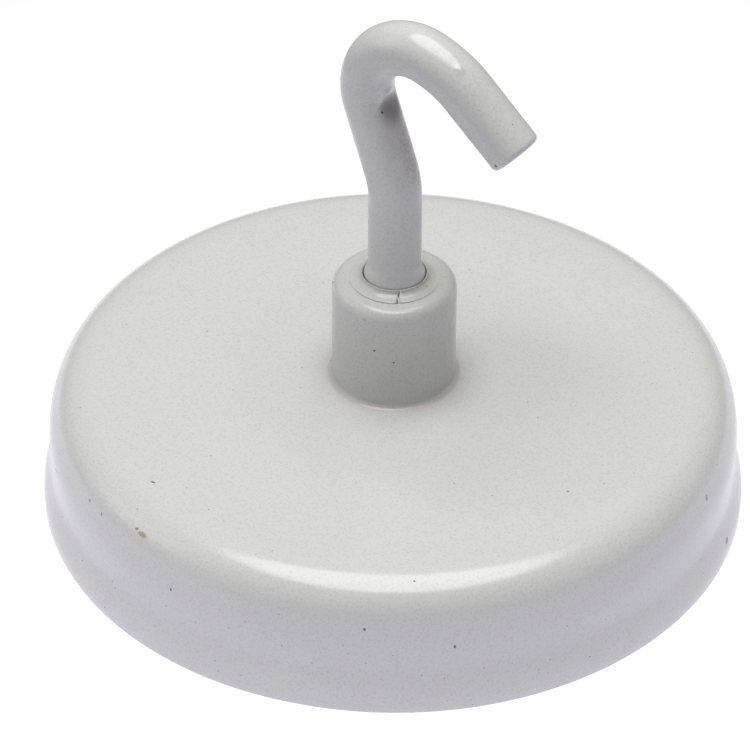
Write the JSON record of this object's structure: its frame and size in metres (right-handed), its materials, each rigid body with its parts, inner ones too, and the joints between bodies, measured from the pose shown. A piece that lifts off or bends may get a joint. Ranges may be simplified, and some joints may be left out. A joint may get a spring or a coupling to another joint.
{
  "type": "pot magnet with hook",
  "caption": "Round enamelled pot magnet: a drawn steel cup round a ferrite ring, with a threaded boss on its back that takes a screw-in bent rod hook.",
  "frame": {"origin": "centre of the working face, in the plane of the cup's rim", "axes": "+Z along the pot's axis, from the working face towards the boss and hook; +X towards the hook's open side"},
  "size_m": [0.0472, 0.0472, 0.0362],
  "materials": {
    "coated_cup": "off-white stoved enamel, satin gloss, fine pinholes",
    "coated_boss": "off-white stoved enamel, satin gloss",
    "ferrite": "ground sintered ferrite, matt dark grey",
    "resin": "poured epoxy, dark amber brown",
    "coated_rod": "off-white stoved enamel on the bent rod, bare rolled thread",
    "loose_coating": "torn ring of the same enamel"
  },
  "bodies": {
    "pot": {"pot_shell": "coated_cup", "boss": "coated_boss", "ring_magnet": "ferrite", "resin_bed": "resin", "resin_ring": "resin"},
    "collar": {"coating_collar": "loose_coating"},
    "hook": {"hook": "coated_rod"}
  },
  "joints": [
    {"name": "hook_turn", "type": "hinge", "parent": "pot", "child": "collar", "pos_m": [0, 0, 0.0167], "axis": [0, 0, 1], "range_deg": [0, 3960]},
    {"name": "hook_lift", "type": "slide", "parent": "collar", "child": "hook", "axis": [0, 0, 1], "range_m": [0, 0.0077]}
  ],
  "couplings": [
    {"joint": "hook_turn", "follows": "hook_lift", "rad_per_m": 8976}
  ]
}
